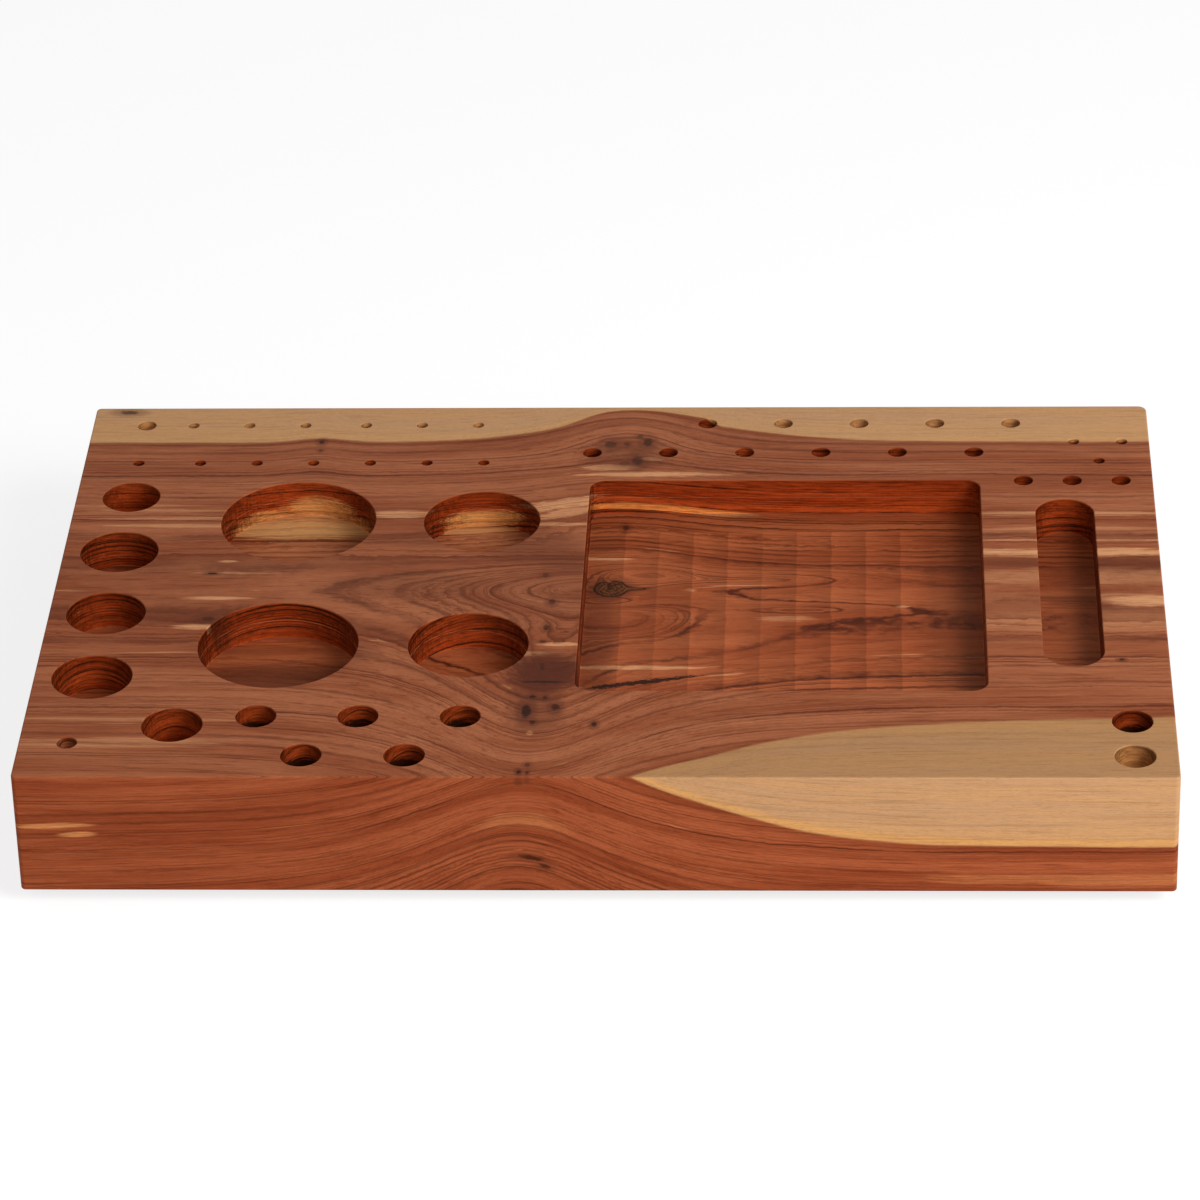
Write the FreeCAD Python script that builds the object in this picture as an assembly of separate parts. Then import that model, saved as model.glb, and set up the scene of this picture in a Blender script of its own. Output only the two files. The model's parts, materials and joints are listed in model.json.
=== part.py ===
import FreeCAD, Part
import math
import os

# Fly tying station: one thick cedar board, routed on top with a tray, a slot, cups, jar and vial
# holes and rows of tool and needle holes, standing on four screwed-on rubber feet.
# Sizes are millimetres. X runs along the long side with the needle rows on the left, Y to the back
# and Z up. The origin is on the bench, under the middle of the board.

# Board
board_width = 444.5
board_depth = 285.75
board_thickness = 52.4
corner_round = 2.0
worn_corner_round = 3.5
edge_ease = 0.8

# Depth of the routed hollows, and of the drilled holes that things stand in
hollow_depth = 15.9
needle_hole_depth = 22.2
tool_hole_depth = 25.4
spool_hole_depth = 19.05

# Diameter of each cutter
needle_bore = 4.76
tool_bore = 7.94
spool_bore = 15.88
vial_bore = 23.81
jar_bore = 31.75
small_cup_bore = 47.63
large_cup_bore = 63.5

# Left column: a vial hole with jar holes in front of it, in line with the first hole of both rows
column_from_left = 22.9
column_vial_from_back = 74.9
column_jars_from_back = 118.9
column_jar_pitch = 47.7
column_jars = 3

# Cups: two columns of two, the large ones nearer the left end
large_cups_from_left = 94.0
small_cups_from_left = 169.3
cup_rows_apart = 95.9
cup_rows_from_middle = 0.4
cups_in_column = 2

# Needle holes along the back: two groups in the first row, one long row behind the cups
first_row_from_back = 15.2
second_row_from_back = 46.9
needle_pitch = 23.7
first_needles_from_left = 42.8
first_needles_gap = 25.7
first_needles = 3
second_needles_from_left = 48.8
second_needles = 6

# Three needle holes in a triangle near the back right corner
trio_from_right = 11.5
trio_from_back = 30.2
trio_width = 20.0
trio_height = 16.0

# Tool holes along the back, right half: two staggered rows and a short one behind the slot
tool_pitch = 31.8
back_tools_from_right = 57.3
back_tools_from_back = 14.4
back_tools = 5
middle_tools_from_right = 73.2
middle_tools_from_back = 38.7
middle_tools = 6
short_tool_pitch = 20.1
short_tools_from_right = 13.1
short_tools_from_back = 62.4
short_tools = 3

# Front left corner: a tool hole, a vial hole and two staggered rows of spool holes
front_tool_from_left = 18.8
front_tool_from_front = 23.9
front_vial_from_left = 58.0
front_vial_from_front = 36.6
spool_pitch = 39.6
spools_from_left = 90.0
spools_from_front = 43.0
spools = 3
front_spools_from_front = 15.4
front_spools = 2

# Front right corner: a pair of spool holes one in front of the other
spool_pair_from_right = 16.6
spool_pair_from_front = 14.9
spool_pair_pitch = 24.5
spool_pair = 2

# Slot for scissors and files, a straight run with round ends
slot_width = 23.9
slot_from_right = 25.2
slot_from_back = 77.4
slot_from_front = 79.0

# Tray: it takes the space left between the small cups and the slot
tray_land_left = 19.4
tray_land_right = 22.1
tray_land_back = 61.8
tray_land_front = 61.5
tray_corner_round = 6.35
hollow_rim_ease = 0.5

# Rubber feet, tapered towards the bench, with a recess for the screw and its washer
foot_height = 6.4
foot_top_diameter = 22.0
foot_bottom_diameter = 18.0
foot_rim_round = 0.8
foot_web = 2.1
foot_inset = 26.0

# Steel washer and pan head wood screw in each foot
washer_diameter = 10.4
washer_thickness = 1.0
washer_clearance = 0.3
screw_diameter = 3.5
screw_length = 12.7
screw_tip_length = 3.2
screw_head_diameter = 7.0
screw_head_height = 2.2
screw_hole_clearance = 0.3
pilot_clearance = 0.06
pilot_spare_depth = 1.0
drive_width = 1.0
drive_span = 3.8
drive_depth = 1.2

# Length by which a cutter stands out of the face that it enters
cutter_overrun = 1.0

up = FreeCAD.Vector(0, 0, 1)
left = -board_width / 2
right = board_width / 2
front = -board_depth / 2
back = board_depth / 2
underside = foot_height
top = underside + board_thickness


def point(x, y, z=0.0):
    return FreeCAD.Vector(x, y, z)


def revolved(profile):
    """A solid turned about Z from a closed run of (radius, height) points."""
    wire = Part.Wire(Part.makePolygon([point(r, 0, z) for r, z in profile + profile[:1]]).Edges)
    return Part.Face(wire).revolve(point(0, 0), up, 360)


def row(x, y, step_x, step_y, count):
    return [(x + n * step_x, y + n * step_y) for n in range(count)]


def hole_groups():
    """Every round hole in the top: the group's name, cutter diameter, depth and centres."""
    column = left + column_from_left
    first_row = back - first_row_from_back
    second_row = back - second_row_from_back
    first_needle = left + first_needles_from_left
    next_needle = first_needle + (first_needles - 1) * needle_pitch + first_needles_gap
    cup_row = cup_rows_from_middle + cup_rows_apart / 2
    trio_x = right - trio_from_right
    trio_y = back - trio_from_back
    spool_x = left + spools_from_left
    spool_y = front + spools_from_front
    return [
        ("corner_tool_hole", tool_bore, tool_hole_depth, [(column, first_row)]),
        ("row_end_needle_hole", needle_bore, needle_hole_depth, [(column, second_row)]),
        (
            "first_needle_row",
            needle_bore,
            needle_hole_depth,
            row(first_needle, first_row, needle_pitch, 0, first_needles)
            + row(next_needle, first_row, needle_pitch, 0, first_needles),
        ),
        (
            "second_needle_row",
            needle_bore,
            needle_hole_depth,
            row(left + second_needles_from_left, second_row, needle_pitch, 0, second_needles),
        ),
        (
            "needle_trio",
            needle_bore,
            needle_hole_depth,
            row(trio_x - trio_width, trio_y, trio_width, 0, 2)
            + [(trio_x - trio_width / 2, trio_y - trio_height)],
        ),
        (
            "back_tool_row",
            tool_bore,
            tool_hole_depth,
            row(right - back_tools_from_right, back - back_tools_from_back, -tool_pitch, 0, back_tools),
        ),
        (
            "middle_tool_row",
            tool_bore,
            tool_hole_depth,
            row(
                right - middle_tools_from_right,
                back - middle_tools_from_back,
                -tool_pitch,
                0,
                middle_tools,
            ),
        ),
        (
            "short_tool_row",
            tool_bore,
            tool_hole_depth,
            row(
                right - short_tools_from_right,
                back - short_tools_from_back,
                -short_tool_pitch,
                0,
                short_tools,
            ),
        ),
        (
            "front_tool_hole",
            tool_bore,
            tool_hole_depth,
            [(left + front_tool_from_left, front + front_tool_from_front)],
        ),
        ("spool_row", spool_bore, spool_hole_depth, row(spool_x, spool_y, spool_pitch, 0, spools)),
        (
            "front_spool_row",
            spool_bore,
            spool_hole_depth,
            row(spool_x + spool_pitch / 2, front + front_spools_from_front, spool_pitch, 0, front_spools),
        ),
        (
            "spool_pair",
            spool_bore,
            spool_hole_depth,
            row(
                right - spool_pair_from_right,
                front + spool_pair_from_front,
                0,
                spool_pair_pitch,
                spool_pair,
            ),
        ),
        ("column_vial_hole", vial_bore, hollow_depth, [(column, back - column_vial_from_back)]),
        (
            "front_vial_hole",
            vial_bore,
            hollow_depth,
            [(left + front_vial_from_left, front + front_vial_from_front)],
        ),
        (
            "jar_column",
            jar_bore,
            hollow_depth,
            row(column, back - column_jars_from_back, 0, -column_jar_pitch, column_jars),
        ),
        (
            "small_cups",
            small_cup_bore,
            hollow_depth,
            row(left + small_cups_from_left, cup_row, 0, -cup_rows_apart, cups_in_column),
        ),
        (
            "large_cups",
            large_cup_bore,
            hollow_depth,
            row(left + large_cups_from_left, cup_row, 0, -cup_rows_apart, cups_in_column),
        ),
    ]


def tray_box():
    """The tray's edges on the top face: x from and to, y from and to."""
    cups_end = left + small_cups_from_left + small_cup_bore / 2
    slot_start = right - slot_from_right - slot_width
    return (
        cups_end + tray_land_left,
        slot_start - tray_land_right,
        front + tray_land_front,
        back - tray_land_back,
    )


def slot_box():
    x_to = right - slot_from_right
    return x_to - slot_width, x_to, front + slot_from_front, back - slot_from_back


def rounded_outline(box, radius, z, grow=0.0):
    """A closed wire round a rectangle with round corners, anticlockwise from its front edge."""
    x0, x1, y0, y1 = box[0] - grow, box[1] + grow, box[2] - grow, box[3] + grow
    r = radius + grow
    corners = [
        (x1 - r, y0 + r, -math.pi / 2),
        (x1 - r, y1 - r, 0.0),
        (x0 + r, y1 - r, math.pi / 2),
        (x0 + r, y0 + r, math.pi),
    ]
    arcs = []
    for cx, cy, start in corners:
        along = [
            point(cx + r * math.cos(start + turn), cy + r * math.sin(start + turn), z)
            for turn in (0.0, math.pi / 4, math.pi / 2)
        ]
        arcs.append((along, Part.Arc(*along).toShape()))
    edges = []
    for n, (along, arc) in enumerate(arcs):
        edges.append(arc)
        start = along[-1]
        end = arcs[(n + 1) % len(arcs)][0][0]
        if start.distanceToPoint(end) > 1e-6:
            edges.append(Part.LineSegment(start, end).toShape())
    return Part.Wire(edges)


def hollow_cutter(box, radius):
    """Straight walls down to a flat floor, and a small flare that eases the rim."""
    walls = Part.Face(rounded_outline(box, radius, top - hollow_depth))
    walls = walls.extrude(up * (hollow_depth + cutter_overrun))
    flare = Part.makeLoft(
        [
            rounded_outline(box, radius, top - hollow_rim_ease),
            rounded_outline(box, radius, top + cutter_overrun, hollow_rim_ease + cutter_overrun),
        ],
        True,
        True,
    )
    return [walls, flare]


def foot_centres():
    """Names and places of the feet, one near each corner."""
    x = board_width / 2 - foot_inset
    y = board_depth / 2 - foot_inset
    return {
        "front_left": (-x, -y),
        "front_right": (x, -y),
        "back_left": (-x, y),
        "back_right": (x, y),
    }


def screw_seat():
    """Height of the washer's lower face, which the screw head bears on."""
    return foot_height - foot_web - washer_thickness


def board():
    """The plank with eased edges, its hollows and holes, and pilot holes for the foot screws."""
    body = Part.makeBox(board_width, board_depth, board_thickness, point(left, front, underside))
    upright = [e for e in body.Edges if abs(e.Vertexes[0].Z - e.Vertexes[1].Z) > board_thickness / 2]
    worn = [e for e in upright if e.CenterOfMass.x > 0 and e.CenterOfMass.y > 0]
    others = [e for e in upright if not any(e.isSame(w) for w in worn)]
    body = body.makeFillet(corner_round, others)
    worn = [
        e
        for e in body.Edges
        if abs(e.CenterOfMass.x - right) < 1e-3 and abs(e.CenterOfMass.y - back) < 1e-3
    ]
    body = body.makeFillet(worn_corner_round, worn)
    rims = [e for e in body.Edges if e.BoundBox.ZLength < 1e-6]
    body = body.makeFillet(edge_ease, rims)

    cutters = []
    for _, diameter, depth, centres in hole_groups():
        for x, y in centres:
            cutters.append(
                Part.makeCylinder(diameter / 2, depth + cutter_overrun, point(x, y, top - depth))
            )
    pilot_depth = screw_seat() + screw_length - underside + pilot_spare_depth
    for x, y in foot_centres().values():
        cutters.append(
            Part.makeCylinder(
                screw_diameter / 2 + pilot_clearance,
                pilot_depth + cutter_overrun,
                point(x, y, underside - cutter_overrun),
            )
        )
    cutters += hollow_cutter(tray_box(), tray_corner_round)
    cutters += hollow_cutter(slot_box(), slot_width / 2)
    return body.cut(cutters)


def foot():
    """A tapered rubber bumper with a web on top and a recess that takes the washer and the head."""
    hole = screw_diameter / 2 + screw_hole_clearance
    recess = washer_diameter / 2 + washer_clearance
    body = revolved(
        [
            (hole, foot_height),
            (hole, foot_height - foot_web),
            (recess, foot_height - foot_web),
            (recess, 0.0),
            (foot_bottom_diameter / 2, 0.0),
            (foot_top_diameter / 2, foot_height),
        ]
    )
    rims = [
        e
        for e in body.Edges
        if len(e.Vertexes) == 1 and abs(e.BoundBox.XLength - foot_bottom_diameter) < 1e-3
    ]
    return body.makeFillet(foot_rim_round, rims)


def washer():
    body = Part.makeCylinder(washer_diameter / 2, washer_thickness, point(0, 0, screw_seat()))
    hole = Part.makeCylinder(
        screw_diameter / 2 + screw_hole_clearance, washer_thickness, point(0, 0, screw_seat())
    )
    return body.cut(hole)


def screw():
    """A pan head wood screw, head down, with a cross recess."""
    seat = screw_seat()
    head = screw_head_diameter / 2
    shank = screw_diameter / 2
    body = revolved(
        [
            (0.0, seat - screw_head_height),
            (head * 0.6, seat - screw_head_height),
            (head * 0.9, seat - screw_head_height * 0.75),
            (head, seat - screw_head_height * 0.4),
            (head, seat),
            (shank, seat),
            (shank, seat + screw_length - screw_tip_length),
            (0.0, seat + screw_length),
        ]
    )
    head_face = seat - screw_head_height
    for span_x, span_y in ((drive_span, drive_width), (drive_width, drive_span)):
        body = body.cut(
            Part.makeBox(
                span_x,
                span_y,
                drive_depth + cutter_overrun,
                point(-span_x / 2, -span_y / 2, head_face - cutter_overrun),
            )
        )
    return body


def save(shape, name):
    shape.exportStep(f"parts/{name}.step")
    print(name, "solids", len(shape.Solids), "valid", shape.isValid(), "volume", round(shape.Volume, 1))


def main():
    os.makedirs("parts", exist_ok=True)
    save(board(), "board")
    for corner, (x, y) in foot_centres().items():
        for name, piece in (("foot", foot()), ("washer", washer()), ("screw", screw())):
            save(piece.translated(point(x, y)), f"{name}_{corner}")


main()
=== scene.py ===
# %% [markdown]
# # A fly tying station cut from one plank of red cedar
# The real object is a single thick board. A maker planes it, routs a square tray, a long slot and
# round cups into it, drills rows of holes for tools, and screws four rubber feet underneath.
# This script dresses the finished CAD model. The frame holds the true sizes, so the first step
# loads it and keeps its box, against which every later change is measured.

import json
import math
from types import SimpleNamespace

import bmesh
import bpy
from mathutils import Matrix, Vector

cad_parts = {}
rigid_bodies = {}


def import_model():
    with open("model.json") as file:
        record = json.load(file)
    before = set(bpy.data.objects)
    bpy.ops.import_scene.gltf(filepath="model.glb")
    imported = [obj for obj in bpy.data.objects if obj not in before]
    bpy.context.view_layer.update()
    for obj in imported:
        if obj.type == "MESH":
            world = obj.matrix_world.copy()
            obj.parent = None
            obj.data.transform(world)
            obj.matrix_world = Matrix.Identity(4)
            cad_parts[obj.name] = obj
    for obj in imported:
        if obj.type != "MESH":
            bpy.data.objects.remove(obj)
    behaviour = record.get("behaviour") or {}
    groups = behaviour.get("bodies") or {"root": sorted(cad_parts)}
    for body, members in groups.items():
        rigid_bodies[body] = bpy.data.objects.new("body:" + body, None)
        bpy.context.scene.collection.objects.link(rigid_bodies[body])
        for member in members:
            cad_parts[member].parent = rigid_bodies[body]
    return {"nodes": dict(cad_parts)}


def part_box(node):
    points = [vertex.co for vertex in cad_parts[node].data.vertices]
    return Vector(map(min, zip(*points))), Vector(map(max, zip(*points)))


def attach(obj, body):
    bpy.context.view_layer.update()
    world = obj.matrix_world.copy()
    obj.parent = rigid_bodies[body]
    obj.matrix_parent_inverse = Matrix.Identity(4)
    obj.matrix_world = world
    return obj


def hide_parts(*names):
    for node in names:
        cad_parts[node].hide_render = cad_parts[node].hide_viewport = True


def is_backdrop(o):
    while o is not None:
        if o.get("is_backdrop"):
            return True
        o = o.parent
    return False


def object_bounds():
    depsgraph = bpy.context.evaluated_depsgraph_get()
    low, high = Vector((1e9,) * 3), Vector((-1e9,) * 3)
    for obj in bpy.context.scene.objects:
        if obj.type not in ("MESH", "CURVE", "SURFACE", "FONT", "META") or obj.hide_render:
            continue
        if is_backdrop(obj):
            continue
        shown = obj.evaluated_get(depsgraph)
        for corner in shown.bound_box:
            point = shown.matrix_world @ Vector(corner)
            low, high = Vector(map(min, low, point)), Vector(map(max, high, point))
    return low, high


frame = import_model()
cad_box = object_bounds()
bpy.ops.object.select_all(action="DESELECT")
MM = 0.001
board_low, board_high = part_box("board")
top = board_high.z
print("nodes", len(frame["nodes"]), "board", [round(v, 5) for v in (*board_low, *board_high)])

# %% [markdown]
# ## The camera
# The photograph was taken with a long lens from a little above, so the board's sides nearly stay
# parallel. The camera's place was found by matching the board's corners and the cups' outlines.
# It looks down by 31 degrees, is turned 3 degrees to the left, and leans by 1.6 degrees.

# %% Set up the camera
camera_data = bpy.data.cameras.new("camera")
camera_data.sensor_width, camera_data.lens = 36, 163.96
camera_data.clip_start, camera_data.clip_end = 0.1, 50
camera = bpy.data.objects.new("camera", camera_data)
bpy.context.scene.collection.objects.link(camera)
pitch, turn, lean = (math.radians(a) for a in (-31.384, 3.040, -1.625))
tilt = Matrix.Rotation(math.pi / 2 + pitch, 4, "X")
aim = Matrix.Rotation(turn, 4, "Z") @ tilt @ Matrix.Rotation(lean, 4, "Z")
CAMERA_X, CAMERA_Y, CAMERA_OVER_TOP = 0.09658, -1.87380, 1.13607
camera.matrix_world = Matrix.Translation((CAMERA_X, CAMERA_Y, CAMERA_OVER_TOP + top)) @ aim
bpy.context.scene.camera = camera
bpy.context.scene.view_settings.view_transform = "Standard"
print("camera at", [round(v, 4) for v in camera.location])

# %% [markdown]
# ## Light, floor and background
# The product stands on a white sweep under large, soft studio lamps. A box light to the right of
# the camera is the main one: it brightens the front edge most and leaves soft shade along the
# right walls of the hollows. The world and a weaker box on the left fill the shade. The floor and
# the world turn white only for the camera and for reflections, so the wood isn't overlit.

# %% Build the studio
def node_in(tree, kind, **settings):
    made = tree.nodes.new(kind)
    for key, value in settings.items():
        setattr(made, key, value)
    return made


def seen_directly(tree):
    """1 for rays from the camera, from a gloss or through glass, and 0 for light on its way."""
    path = node_in(tree, "ShaderNodeLightPath")
    total = path.outputs["Is Camera Ray"]
    for name in ("Is Glossy Ray", "Is Transmission Ray"):
        adder = node_in(tree, "ShaderNodeMath", operation="ADD", use_clamp=True)
        tree.links.new(total, adder.inputs[0])
        tree.links.new(path.outputs[name], adder.inputs[1])
        total = adder.outputs[0]
    return total


def shader_in(tree, kind, **inputs):
    made = node_in(tree, "ShaderNode" + kind)
    for name, value in inputs.items():
        made.inputs[name].default_value = value
    return made


def choose_by_ray(tree, for_light, for_eye, output):
    """Lights the scene with one shader and shows the other to the eye, to gloss and to glass."""
    chooser, out = node_in(tree, "ShaderNodeMixShader"), node_in(tree, output)
    sources = (seen_directly(tree), for_light.outputs[0], for_eye.outputs[0])
    for source, target in zip(sources, chooser.inputs):
        tree.links.new(source, target)
    tree.links.new(chooser.outputs[0], out.inputs[0])


world = bpy.data.worlds.new("studio")
bpy.context.scene.world = world
world.use_nodes = True
world.node_tree.nodes.clear()
WHITE = (1.0, 1.0, 1.0, 1.0)
ambient = shader_in(world.node_tree, "Background", Color=(0.97, 0.985, 1.0, 1.0), Strength=0.24)
white = shader_in(world.node_tree, "Background", Color=WHITE, Strength=1.0)
choose_by_ray(world.node_tree, ambient, white, "ShaderNodeOutputWorld")

bpy.ops.mesh.primitive_plane_add(size=12, location=(0, 0, 0))
floor = bpy.context.object
floor.name = "floor"
sweep = bpy.data.materials.new("white_sweep")
sweep.use_nodes = True
sweep.node_tree.nodes.clear()
paper = shader_in(sweep.node_tree, "BsdfDiffuse", Color=(0.88, 0.88, 0.88, 1))
faint = shader_in(sweep.node_tree, "BsdfDiffuse", Color=(0.36, 0.36, 0.36, 1))
glow = shader_in(sweep.node_tree, "Emission", Strength=0.78)
shadowed_white = node_in(sweep.node_tree, "ShaderNodeAddShader")
sweep.node_tree.links.new(faint.outputs[0], shadowed_white.inputs[0])
sweep.node_tree.links.new(glow.outputs[0], shadowed_white.inputs[1])
choose_by_ray(sweep.node_tree, paper, shadowed_white, "ShaderNodeOutputMaterial")
floor.data.materials.append(sweep)
floor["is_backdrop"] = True


def softbox(name, azimuth, elevation, distance, size, watts):
    """A square lamp that looks at the board. Azimuth 0 is on the camera's side, 90 on the right."""
    lamp_data = bpy.data.lights.new(name, "AREA")
    lamp_data.shape, lamp_data.size, lamp_data.energy = "SQUARE", size, watts
    lamp = bpy.data.objects.new(name, lamp_data)
    bpy.context.scene.collection.objects.link(lamp)
    a, e = math.radians(azimuth), math.radians(elevation)
    direction = Vector((math.sin(a) * math.cos(e), -math.cos(a) * math.cos(e), math.sin(e)))
    facing = direction.to_track_quat("Z", "Y").to_matrix().to_4x4()
    lamp.matrix_world = Matrix.Translation(direction * distance) @ facing


softbox("main_box", 50, 38, 1.9, 1.0, 27.0)
softbox("fill_box", -42, 42, 2.0, 1.4, 3.5)
print("studio ready")

# %% [markdown]
# ## Writing material rules as sums
# Everything that makes this board look like cedar follows a rule in space: how far a point lies
# from the heart of the tree, how near it is to a branch. Blender writes such rules with Math nodes.
# The small helper below adds those nodes, so that a rule in the script reads like a sum.

# %% A helper for node sums
class Term:
    """The output of a node, with which a sum goes on."""

    def __init__(self, recipe, socket):
        self.recipe, self.socket = recipe, socket

    def __add__(self, other):
        return self.recipe.sum("ADD", self, other)

    def __sub__(self, other):
        return self.recipe.sum("SUBTRACT", self, other)

    def __rsub__(self, other):
        return self.recipe.sum("SUBTRACT", other, self)

    def __mul__(self, other):
        return self.recipe.sum("MULTIPLY", self, other)

    def __truediv__(self, other):
        return self.recipe.sum("DIVIDE", self, other)

    def __neg__(self):
        return self.recipe.sum("MULTIPLY", self, -1.0)

    def ramp(self, start, end, low=0.0, high=1.0):
        """Rises softly from low at start to high at end, and stays there."""
        node = self.recipe.node("ShaderNodeMapRange", interpolation_type="SMOOTHSTEP")
        for socket, value in zip(node.inputs, (self, start, end, low, high)):
            self.recipe.feed(socket, value)
        return Term(self.recipe, node.outputs[0])


class Recipe:
    """Fills a material's node tree."""

    def __init__(self, name):
        self.material = bpy.data.materials.new(name)
        self.material.use_nodes = True
        self.tree = self.material.node_tree
        self.tree.nodes.clear()

    def node(self, kind, **settings):
        return node_in(self.tree, kind, **settings)

    def feed(self, socket, value):
        if isinstance(value, Term):
            self.tree.links.new(value.socket, socket)
        else:
            socket.default_value = value

    def sum(self, operation, *values):
        node = self.node("ShaderNodeMath", operation=operation)
        for socket, value in zip(node.inputs, values):
            self.feed(socket, value)
        return Term(self, node.outputs[0])

    def place(self):
        """The point on the object, in metres, as a vector."""
        return Term(self, self.node("ShaderNodeTexCoord").outputs["Object"])

    def facing(self):
        """The way the surface faces on the object, as a vector of length 1."""
        return Term(self, self.node("ShaderNodeTexCoord").outputs["Normal"])

    def grey(self, value):
        return self.join(value, value, value)

    def split(self, vector):
        node = self.node("ShaderNodeSeparateXYZ")
        self.feed(node.inputs[0], vector)
        return [Term(self, s) for s in node.outputs]

    def join(self, x, y, z=0.0):
        node = self.node("ShaderNodeCombineXYZ")
        for socket, value in zip(node.inputs, (x, y, z)):
            self.feed(socket, value)
        return Term(self, node.outputs[0])

    def vector(self, operation, *values):
        node = self.node("ShaderNodeVectorMath", operation=operation)
        for socket, value in zip(node.inputs, values):
            self.feed(socket, value)
        return Term(self, node.outputs["Value" if operation == "DOT_PRODUCT" else "Vector"])

    def noise(self, vector, detail=2.0, roughness=0.5):
        node = self.node("ShaderNodeTexNoise", noise_dimensions="3D")
        self.feed(node.inputs["Vector"], vector)
        node.inputs["Scale"].default_value = 1.0
        node.inputs["Detail"].default_value = detail
        node.inputs["Roughness"].default_value = roughness
        return Term(self, node.outputs["Fac"])

    def noise_along(self, value, detail=1.0):
        node = self.node("ShaderNodeTexNoise", noise_dimensions="1D")
        self.feed(node.inputs["W"], value)
        node.inputs["Scale"].default_value = 1.0
        node.inputs["Detail"].default_value = detail
        return Term(self, node.outputs["Fac"])

    def dice(self, value):
        """A fixed random number for each whole value."""
        node = self.node("ShaderNodeTexWhiteNoise", noise_dimensions="1D")
        self.feed(node.inputs["W"], value)
        return Term(self, node.outputs["Value"])

    def blend(self, amount, under, over, kind="MIX"):
        node = self.node("ShaderNodeMix", data_type="RGBA", blend_type=kind)
        self.feed(node.inputs[0], amount)
        for socket, value in ((node.inputs[6], under), (node.inputs[7], over)):
            self.feed(socket, (*value, 1.0) if isinstance(value, tuple) else value)
        return Term(self, node.outputs[2])

    def tinted(self, colour, tint):
        return self.blend(1.0, colour, tint, kind="MULTIPLY")

    def finish(self, colour, roughness, height=None, relief=1.0, **fixed):
        """Ends the material in one Principled shader."""
        shader = self.node("ShaderNodeBsdfPrincipled")
        self.feed(shader.inputs["Base Color"], (*colour, 1.0) if isinstance(colour, tuple) else colour)
        self.feed(shader.inputs["Roughness"], roughness)
        for name, value in fixed.items():
            shader.inputs[name.replace("_", " ")].default_value = value
        if height is not None:
            bump = self.node("ShaderNodeBump")
            bump.inputs["Strength"].default_value = relief
            bump.inputs["Distance"].default_value = MM
            self.feed(bump.inputs["Height"], height)
            self.tree.links.new(bump.outputs[0], shader.inputs["Normal"])
        out = self.node("ShaderNodeOutputMaterial")
        self.tree.links.new(shader.outputs[0], out.inputs[0])
        return self.material


def root(value):
    return value.recipe.sum("SQRT", value) if isinstance(value, Term) else math.sqrt(value)


def fade(value):
    """e to the power of the value."""
    return value.recipe.sum("EXPONENT", value) if isinstance(value, Term) else math.exp(value)


def limited(value, low, high):
    if isinstance(value, Term):
        return value.recipe.sum("MINIMUM", value.recipe.sum("MAXIMUM", value, low), high)
    return min(max(value, low), high)


def stronger(one, other):
    return one.recipe.sum("MAXIMUM", one, other)


def degrees_round(across, up):
    if isinstance(across, Term):
        return across.recipe.sum("ARCTAN2", across, up) * (180 / math.pi)
    return math.degrees(math.atan2(across, up))


print("helpers ready")

# %% [markdown]
# ## The tree inside the board
# The board was sawn from one side of a log, and the heart of the tree lies 183 mm below its top.
# A growth ring is a surface of equal distance from the heart, pushed outwards or inwards where
# branches left the trunk. That one rule gives the straight lines at the back, the loops in the
# middle, the valley at the front and the arch on the front edge, because each face of the board
# cuts the same rings. Branches that died early and were grown over lift or sink the deeper rings:
# each has its rise, its place and reach along the grain, and its place and reach round the tree.

# %% The rings' rule
HEART_Y, HEART_Z = -4.0, -183.0
AROUND = 3.1
BURIED_BRANCHES = [
    (-4.5, 17, 20, 39, 7),
    (5.0, -2, 18, 16, 6),
    (-5.0, 62, 40, 34, 6),
    (4.8, -7, 34, -39, 50),
    (-3.0, 83, 33, 9, 5),
    (-2.4, 8, 22, 2, 13),
]


def bell(distance, reach):
    """1 at the middle, falling off on both sides."""
    return fade(-(distance * distance) / (reach * reach))


def ring_place(x, y, z):
    """For a point in mm, with z from the board's top: the ring it lies on and its place round the tree."""
    across, up = y - HEART_Y, z - HEART_Z
    distance = root(across * across + up * up)
    angle = degrees_round(across, up)
    around = angle * AROUND
    side = limited((angle + 45.0) * (1 / 75), 0.0, 1.0)
    deep = bell(z + 18.0, 16.0)
    crown = (bell(angle, 4.6) * 24.0 - bell(angle - 6.0, 9.2) * 14.0) * (1.15 - deep * 1.15)
    depth = side * -24.0 + 27.0 + crown + bell(angle - 36.0, 6.0) * 10.0
    depth = depth * limited((distance - 140.0) * 0.02, 0.3, 1.0)
    from_whorl = x - (side * 35.0 - 30.5)
    dip = fade((28.5 - root(from_whorl * from_whorl + 28.5**2)) / (side * -12.7 + 33.5))
    ring = distance - depth * dip
    for rise, middle, along, place, reach in BURIED_BRANCHES:
        ring = ring + deep * (bell(x - middle, along) * bell(around - place, reach) * rise)
    ring = ring - bell(x + 125.0, 14.0) * limited((angle - 18.0) * (1 / 12), 0.0, 1.0) * 2.0
    return ring, around


print("ring at the middle of the top", [round(v, 2) for v in ring_place(100.0, 0.0, 0.0)])

# %% [markdown]
# ## Marks in the wood
# Red cedar is known for its marks: pale sapwood layers that the heartwood closed in, smoky violet
# stains round the branch whorl, pin knots, and bark that grew in. Each is a long soft patch that
# lies in the rings, so it is given by a point on the board and three half sizes: along the grain,
# across the rings, and round the tree. Its strength comes last. Some rings are much darker than
# their neighbours all round: for those, the distance from the heart and the strength are enough.

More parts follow.
